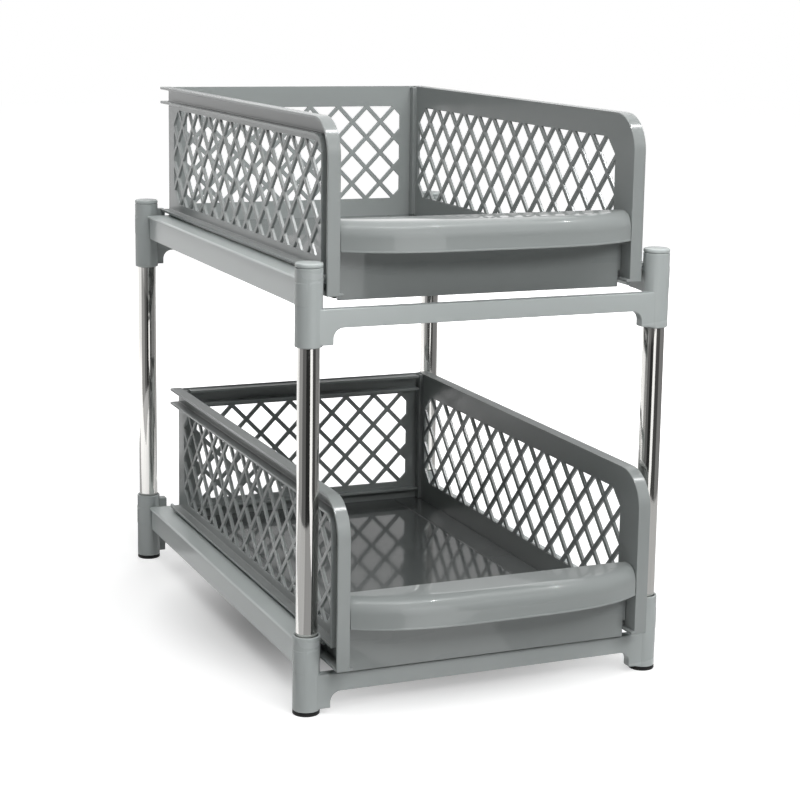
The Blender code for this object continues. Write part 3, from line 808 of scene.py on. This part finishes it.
def sleevePad(hand):  # the faint raised patch on the outer side of a sleeve
    v = sleeve
    half, steps = v["padHalfAngle"], v["padSteps"]
    turns = [-half + 2 * half * i / steps for i in range(steps + 1)]
    loops = []
    bm = bmesh.new()
    least = v["padEndShare"]
    shares = [least + (1 - least) * min(1, (half - abs(turn)) / v["padFade"]) for turn in turns]
    for rise, inset in ((-v["padRise"], 0), (0, 0), (v["padRise"], v["padRise"])):
        low, high = v["padBottom"] + inset, v["padTop"] - inset
        radii = [v["radius"] + (rise * share if rise > 0 else rise) for share in shares]
        sweep = []
        for radius, turn in zip(radii, turns):
            t = math.radians(turn)
            sweep.append((radius * math.cos(t), radius * math.sin(t)))
        rows = [[bm.verts.new((hand * (postX + x), y, z)) for x, y in sweep] for z in (low, high)]
        loops.append(rows[0] + rows[1][::-1])
    for one, two in zip(loops, loops[1:]):
        for i in range(len(one)):
            j = (i + 1) % len(one)
            bm.faces.new((one[i], one[j], two[j], two[i]))
    count = len(turns)
    for loop in (loops[0], loops[-1]):
        low, high = loop[:count], loop[count:][::-1]
        for i in range(count - 1):
            bm.faces.new((low[i], low[i + 1], high[i + 1], high[i]))
    return asObject("pad", bm)


def makeBeam(tier, name, atRear):
    v = beam
    face = v["setback"] - sleeve["radius"]
    rear, top = face + v["depth"], v["bottom"] + v["height"]
    bar = prisms([beamOutline()], face, rear, lambda u, w, y: Vector((u, y, w)))
    segments = v["frontEdgeSegments"]
    bar = soften(bar, v["frontEdge"], segments, lambda p: p.z > top - weld and p.y < face + weld)
    hollow = postX - sleeve["radius"] - v["gussetReach"] - v["gussetFillet"]
    cell = (2 * hollow + v["wall"]) / v["cells"]
    cells = []
    for i in range(v["cells"]):
        x = -hollow + i * cell
        low = (x, face + v["wall"], v["bottom"] + v["wall"])
        cells.append((low, (x + cell - v["wall"], rear + overrun, top - v["wall"])))
    bar = cut(bar, [boxes(*cells)])
    tools, bores, late = [], [], []
    for hand in (-1, 1):
        late.append(sleevePad(hand))
        tools.append(roundBar(sleeve["radius"], 0, sleeve["height"], hand * postX))
        seatOuter = postX + rail["faceOutset"] - rail["wall"] - fit
        x0, x1 = sorted((hand * seatOuter, hand * (seatOuter - seat["width"])))
        seatLow = (x0, 0, rail["top"] - rail["height"] + seat["rise"])
        seatRear = sleeve["radius"] + rail["endGap"] + seat["length"]
        tools.append(boxes((seatLow, (x1, seatRear, rail["top"] - rail["plate"] - fit))))
        if atRear:
            basketEnd = basketCorner["upper"].y + side["length"]
            stopOuter = postX - sleeve["bore"] - fit
            x0, x1 = sorted((hand * (basketHalf - stop["grip"]), hand * stopOuter))
            stopTop = basketBase + side["runnerChannel"] + stop["rise"]
            stopLow = (x0, face + v["wall"] / 2, v["bottom"] + v["wall"] / 2)
            stopHigh = (x1, rearPost.y - basketEnd - fit, stopTop)
            late.append(soften(boxes((stopLow, stopHigh)), v["edge"]))
        x, boreTop = hand * postX, sleeve["height"] + overrun
        if tier == "upper":  # a shelf is left between the bores, and rests on the post below
            bores.append(roundBar(sleeve["bore"], -overrun, sleeve["shelfBottom"], x))
            bores.append(roundBar(sleeve["bore"], sleeve["shelfTop"], boreTop, x))
        else:
            bores.append(roundBar(sleeve["bore"], -overrun, boreTop, x))
    bar = evenShading(join(soften(cut(join(bar, tools), bores), v["edge"]), late))
    bar.rotation_euler = (0, 0, math.pi if atRear else 0)
    bar.location = (0, rearPost.y if atRear else frontPost.y, tierZ[tier])
    node = tier + ("_rear_beam" if atRear else "_front_beam")
    return dress(bar, tier + name, plastic["beam"], "stand", node)


rail = {
    "height": 0.021,
    "top": 0.0465,
    "wall": 0.0024,
    "plate": 0.0025,
    "faceOutset": 0.0005,
    "lipReach": 0.002,
    "lipHeight": 0.0022,
    "lipRound": 0.0016,
    "lipSteps": 6,
    "endGap": 0.0026,
    "runGap": 0.001,
    "hem": 0.002,
    "hemDrop": 0.0025,
    "rib": 0.0018,
    "ribs": 7,
    "ribRise": 0.0025,
    "beadWidth": 0.0022,
    "beadHeight": 0.002,
    "edge": 0.0004,
}


def railSection():
    v = rail
    face, top = postX + v["faceOutset"], v["top"]
    under, bottom = top - v["plate"], top - v["height"]
    lip, lipBottom = face + v["lipReach"], top - v["lipHeight"]
    inner = side["inner"] + side["web"] + v["runGap"]
    hem, bead0 = inner + v["hem"], inner + fit
    bead1, beadTop = bead0 + v["beadWidth"], top + v["beadHeight"]
    section = [(face, bottom), (face, lipBottom), (lip, lipBottom)]
    section += arc((lip - v["lipRound"], top - v["lipRound"]), v["lipRound"], 0, 90, v["lipSteps"])
    return section + [
        (bead1, top), (bead1, beadTop), (bead0, beadTop), (bead0, top), (inner, top),
        (inner, under - v["hemDrop"]), (hem, under - v["hemDrop"]), (hem, under),
        (face - v["wall"], under), (face - v["wall"], bottom),
    ]


def makeRail(tier, name, hand):
    v = rail
    half = postHalfSpan - sleeve["radius"] - v["endGap"]

    def place(u, w, y):
        return Vector((hand * u, y, w))

    bar = prisms([railSection()], -half, half, place)
    wall, under = postX + v["faceOutset"] - v["wall"] / 2, v["top"] - v["plate"] / 2
    low, near = v["top"] - v["height"] + v["ribRise"], postX - sleeve["radius"]
    hem = side["inner"] + side["web"] + v["runGap"] + v["hem"] / 2
    hemLow = v["top"] - v["plate"] - v["hemDrop"] + v["hem"] / 2
    outline = [(wall, low), (near, low), (near, hemLow), (hem, hemLow), (hem, under), (wall, under)]
    reach = half - seat["length"] - v["rib"] - overrun
    ribs = []
    for i in range(v["ribs"]):
        y = -reach + 2 * reach * i / (v["ribs"] - 1)
        ribs.append(prisms([outline], y - v["rib"] / 2, y + v["rib"] / 2, place))
    bar = evenShading(soften(join(bar, ribs), v["edge"]))
    bar.location = (0, standY, tierZ[tier])
    node = tier + "_" + name + "_rail"
    return dress(bar, tier + "Rail" + name.title(), plastic["rail"], "stand", node)


for tier in tiers:
    makeBeam(tier, "FrontBeam", False)
    makeBeam(tier, "RearBeam", True)
    makeRail(tier, "left", -1)
    makeRail(tier, "right", 1)
    print(tier, "beams and rails made")


# Posts, feet and caps

post = {"radius": 0.008, "wall": 0.001, "edge": 0.0003, "steps": 96}
foot = {
    "radius": 0.010,
    "stem": 0.008,
    "height": 0.0027,
    "edge": 0.0007,
    "lowerSteps": 5,
    "upperSteps": 4,
}
cap = {
    "radius": 0.010,
    "stem": 0.008,
    "height": 0.0031,
    "shoulder": 0.0013,
    "shoulderTurn": 78,
    "shoulderSteps": 8,
    "slopeReach": 0.003,  # from there to the middle its top slopes up very little
    "slopeDrop": 0.0001,
}


# Places a turned piece on its post's axis, and dresses it
def standAt(obj, kind, corner, material):
    node = kind + "_" + corner
    middle = middleOf(node)
    obj.location = (middle.x, middle.y, 0)
    name = kind + corner.title().replace("_", "")
    return dress(evenShading(obj, "turned"), name, material, "stand", node)


def makePost(corner):
    v = post
    low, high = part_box("post_" + corner)
    outer, inner, e = v["radius"], v["radius"] - v["wall"], v["edge"]
    profile = [
        (inner, low.z + e), (inner + e, low.z), (outer - e, low.z), (outer, low.z + e),
        (outer, high.z - e), (outer - e, high.z), (inner + e, high.z), (inner, high.z - e),
    ]
    tube = turned("post", profile, v["steps"])
    return standAt(tube, "post", corner, steel)


def makeFoot(corner):
    v = foot
    low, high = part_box("foot_" + corner)
    r, e = v["radius"], v["edge"]
    profile = [(0, 0), (r - e, 0)] + arc((r - e, e), e, -90, 0, v["lowerSteps"])
    profile += arc((r - e / 2, v["height"] - e / 2), e / 2, 0, 90, v["upperSteps"])
    profile += [(v["stem"], v["height"]), (v["stem"], high.z), (0, high.z)]
    return standAt(turned("foot", profile), "foot", corner, rubber)


def makeCap(corner):
    v = cap
    low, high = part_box("cap_" + corner)
    r, s, stem, seatZ = v["radius"], v["shoulder"], v["stem"], high.z - v["height"]
    profile = [(0, low.z), (stem, low.z), (stem, seatZ), (r - fit, seatZ), (r, seatZ + fit)]
    profile += arc((r - s, high.z - s), s, 0, v["shoulderTurn"], v["shoulderSteps"])
    profile += [(r - s - v["slopeReach"], high.z - v["slopeDrop"]), (0, high.z)]
    return standAt(turned("cap", profile), "cap", corner, plastic["cap"])


for corner in corners:
    makePost(corner)
    makeFoot(corner)
    makeCap(corner)
print("posts, feet and caps made")


# Studio: floor, world, lamps, grey cards that gloss reflects, and camera

studio = {
    "floorSize": 14.0,
    "floorSquares": 8,
    "floorColour": 0.62,
    # a glow painted on the floor: it makes the floor white further out, and is weak near and under
    # the object, so the floor is darker there
    "floorGlow": (0.12, 0.55, 0.98),  # what shows on top of the lit floor, going outwards
    "glowDistances": (0.1, 0.2, 1.3),
    "worldLight": 0.025,
    "aimHeight": 0.2,  # of the point that the lamps look at
    "cardLift": 0.001,
    "cardInside": 0.27,
    "cardTurn": 0.6,
    "cardRadius": 0.85,
    "cardStep": 0.52,
    "cardHeight": 1.9,
    "cardSteps": 24,
}
# name: degrees right of the front, degrees up, metres away, size, watts
lamps = {
    "topLamp": (6, 70, 1.9, (2.2, 1.7), 28),
    "frontLamp": (8, 50, 1.9, (1.3, 0.9), 10),
    "lowLamp": (6, 29, 1.9, (1.6, 0.4), 12),
    "leftLamp": (-90, 65, 1.9, (1.3, 0.9), 5.5),
    "rightLamp": (95, 12, 1.9, (1.0, 0.6), 10),
    "backLamp": (165, 12, 1.9, (1.0, 0.6), 17),
}
matteOnly = ("topLamp", "frontLamp", "rightLamp", "backLamp")  # these don't show in the gloss
# small lamps that show only as sparks in the gloss: degrees right of the front, degrees up
sparks = ((-43, 56), (-8, 67), (13, 66), (45, 67), (69, 57))
spark = {"away": 1.9, "size": (0.012, 0.03), "watts": 4}
# name: from and to in degrees right of the front, then the greys that show in the gloss: of the
# ground nearby, of the ground further out with the lower wall, and of the upper wall
cards = {
    "cardLeft": (-104, -66, 0.56, 0.34, 0.5),
    "cardFrontLeft": (-66, -38, 0.52, 0.13, 0.2),
    "cardFront": (-38, -9, 0.34, 0.025, 0.1),
    "cardBright": (-9, 11, 1.15, 1.15, 0.4),
    "cardFrontRight": (11, 42, 0.5, 0.065, 0.1),
    "cardRight": (42, 108, 0.5, 0.22, 0.3),
    "cardRear": (108, 178, 0.42, 0.42, 1.2),
    "cardRearLeft": (-180, -138, 0.43, 1.22, 1.3),
}


def aimPoint(turn, lift, away):
    turn, lift = math.radians(turn), math.radians(lift)
    flat = away * math.cos(lift)
    offset = (flat * math.sin(turn), standY - flat * math.cos(turn), away * math.sin(lift))
    return Vector((0, 0, studio["aimHeight"])) + Vector(offset)


# Base for the light itself, and seen for what the camera, gloss and glass look at
def seenWhite(tree, base, seen):
    paths = addNode(tree, "ShaderNodeLightPath")
    either = None
    for ray in ("Is Camera Ray", "Is Glossy Ray", "Is Transmission Ray"):
        step = addNode(tree, "ShaderNodeMath", operation="MAXIMUM")
        step.inputs[1].default_value = 0
        tree.links.new(paths.outputs[ray], step.inputs[0])
        if either is not None:
            tree.links.new(either, step.inputs[1])
        either = step.outputs[0]
    ranged = addNode(tree, "ShaderNodeMapRange")
    ranged.inputs["To Min"].default_value = base
    ranged.inputs["To Max"].default_value = seen
    tree.links.new(either, ranged.inputs["Value"])
    return ranged.outputs["Result"]


def makeFloorPlane():
    bm = bmesh.new()
    squares = studio["floorSquares"]
    bmesh.ops.create_grid(bm, x_segments=squares, y_segments=squares, size=studio["floorSize"] / 2)
    plane = asObject("studioFloor", bm)
    material = bpy.data.materials.new("studioWhite")
    material.use_nodes = True
    tree = material.node_tree
    tree.nodes.clear()
    diffuse = addNode(tree, "ShaderNodeBsdfDiffuse")
    diffuse.inputs["Color"].default_value = (studio["floorColour"],) * 3 + (1,)
    glow = addNode(tree, "ShaderNodeEmission")
    distance = addNode(tree, "ShaderNodeVectorMath", operation="LENGTH")
    tree.links.new(addNode(tree, "ShaderNodeTexCoord").outputs["Object"], distance.inputs[0])
    reach = studio["glowDistances"][-1]
    share = addNode(tree, "ShaderNodeMath", operation="DIVIDE")
    share.inputs[1].default_value = reach
    tree.links.new(distance.outputs["Value"], share.inputs[0])
    ramp = addNode(tree, "ShaderNodeValToRGB")
    marks = ramp.color_ramp.elements
    while len(marks) < len(studio["floorGlow"]):
        marks.new(0.5)  # the next lines give it its place
    for mark, away, grey in zip(marks, studio["glowDistances"], studio["floorGlow"]):
        mark.position, mark.color = away / reach, (grey, grey, grey, 1)
    tree.links.new(share.outputs[0], ramp.inputs["Fac"])
    tree.links.new(ramp.outputs["Color"], glow.inputs["Color"])
    tree.links.new(seenWhite(tree, 0.0, 1.0), glow.inputs["Strength"])
    both = addNode(tree, "ShaderNodeAddShader")
    out = addNode(tree, "ShaderNodeOutputMaterial")
    tree.links.new(diffuse.outputs[0], both.inputs[0])
    tree.links.new(glow.outputs[0], both.inputs[1])
    tree.links.new(both.outputs[0], out.inputs["Surface"])
    plane.data.materials.append(material)


def makeWorld():
    world = bpy.data.worlds.new("studioWorld")
    bpy.context.scene.world = world
    world.use_nodes = True
    tree = world.node_tree
    background = tree.nodes["Background"]
    background.inputs["Color"].default_value = (1, 1, 1, 1)
    tree.links.new(seenWhite(tree, studio["worldLight"], 1.0), background.inputs["Strength"])


def areaLamp(name, turn, lift, away, size, watts):
    light = bpy.data.lights.new(name, "AREA")
    light.shape = "RECTANGLE"
    light.size, light.size_y = size
    light.energy = watts
    lamp = bpy.data.objects.new(name, light)
    bpy.context.scene.collection.objects.link(lamp)
    lamp.location = aimPoint(turn, lift, away)
    lamp.rotation_euler = (aimPoint(0, 0, 0) - lamp.location).to_track_quat("-Z", "Y").to_euler()
    lamp.visible_camera = False
    return lamp


def glossCard(name, start, end, *greys):  # a bent card beside the object that only gloss sees
    bm = bmesh.new()
    columns = []
    for i in range(studio["cardSteps"] + 1):
        turn = start + (end - start) * i / studio["cardSteps"]
        reaches = [studio[away] for away in ("cardInside", "cardTurn", "cardRadius")]
        ring = [aimPoint(turn, 0, reach) for reach in reaches]
        places = [(p.x, p.y, studio["cardLift"]) for p in ring]
        places += [(ring[-1].x, ring[-1].y, studio[level]) for level in ("cardStep", "cardHeight")]
        columns.append([bm.verts.new(place) for place in places])
    for one, two in zip(columns, columns[1:]):
        for k, which in enumerate((0, 1, 1, 2)):
            face = bm.faces.new((one[k], two[k], two[k + 1], one[k + 1]))
            face.material_index = which
    card = asObject(name, bm)
    for level in greys:
        material = bpy.data.materials.new(name)
        material.use_nodes = True
        tree = material.node_tree
        tree.nodes.clear()
        glow = addNode(tree, "ShaderNodeEmission")
        glow.inputs["Color"].default_value = (level, level, level, 1)
        out = addNode(tree, "ShaderNodeOutputMaterial")
        tree.links.new(glow.outputs[0], out.inputs["Surface"])
        card.data.materials.append(material)
    card.visible_camera = card.visible_diffuse = card.visible_shadow = False
    card.visible_transmission = card.visible_volume_scatter = False


makeFloorPlane()
makeWorld()
for name, settings in lamps.items():
    areaLamp(name, *settings).visible_glossy = name not in matteOnly
for i, (turn, lift) in enumerate(sparks):
    tiny = areaLamp("spark%d" % i, turn, lift, *spark.values())
    tiny.visible_diffuse = False
    tiny.data.cycles.use_multiple_importance_sampling = False  # so that no card in between hides it
for name, settings in cards.items():
    glossCard(name, *settings)

view = {
    "place": (-0.600138, -1.464128, 0.514946),  # from the middle of the four posts, on the ground
    "yaw": 0.406027,  # to the right of +Y
    "pitch": 0.176555,  # downwards
    "roll": 0.016480,
    "focalPixels": 1942.493,
    "centrePixels": (410.756, 337.281),
    "imagePixels": 800,
    "sensorWidth": 36,
}


def makeCamera():
    v = view
    ahead = Vector((
        math.sin(v["yaw"]) * math.cos(v["pitch"]),
        math.cos(v["yaw"]) * math.cos(v["pitch"]),
        -math.sin(v["pitch"]),
    ))
    level = Vector((math.cos(v["yaw"]), -math.sin(v["yaw"]), 0))
    upright = level.cross(ahead)
    right = math.cos(v["roll"]) * level + math.sin(v["roll"]) * upright
    up = math.cos(v["roll"]) * upright - math.sin(v["roll"]) * level
    data = bpy.data.cameras.new("studioCamera")
    half = v["imagePixels"] / 2
    data.sensor_width = v["sensorWidth"]
    data.lens = v["focalPixels"] * data.sensor_width / v["imagePixels"]
    data.shift_x = (half - v["centrePixels"][0]) / v["imagePixels"]
    data.shift_y = (v["centrePixels"][1] - half) / v["imagePixels"]
    camera = bpy.data.objects.new("studioCamera", data)
    bpy.context.scene.collection.objects.link(camera)
    place = Vector(v["place"]) + Vector((0, standY, 0))
    turn = Matrix((right, up, -ahead)).transposed().to_4x4()
    camera.matrix_world = Matrix.Translation(place) @ turn
    bpy.context.scene.camera = camera


makeCamera()
bpy.context.scene.view_settings.view_transform = "Standard"
print("studio ready")
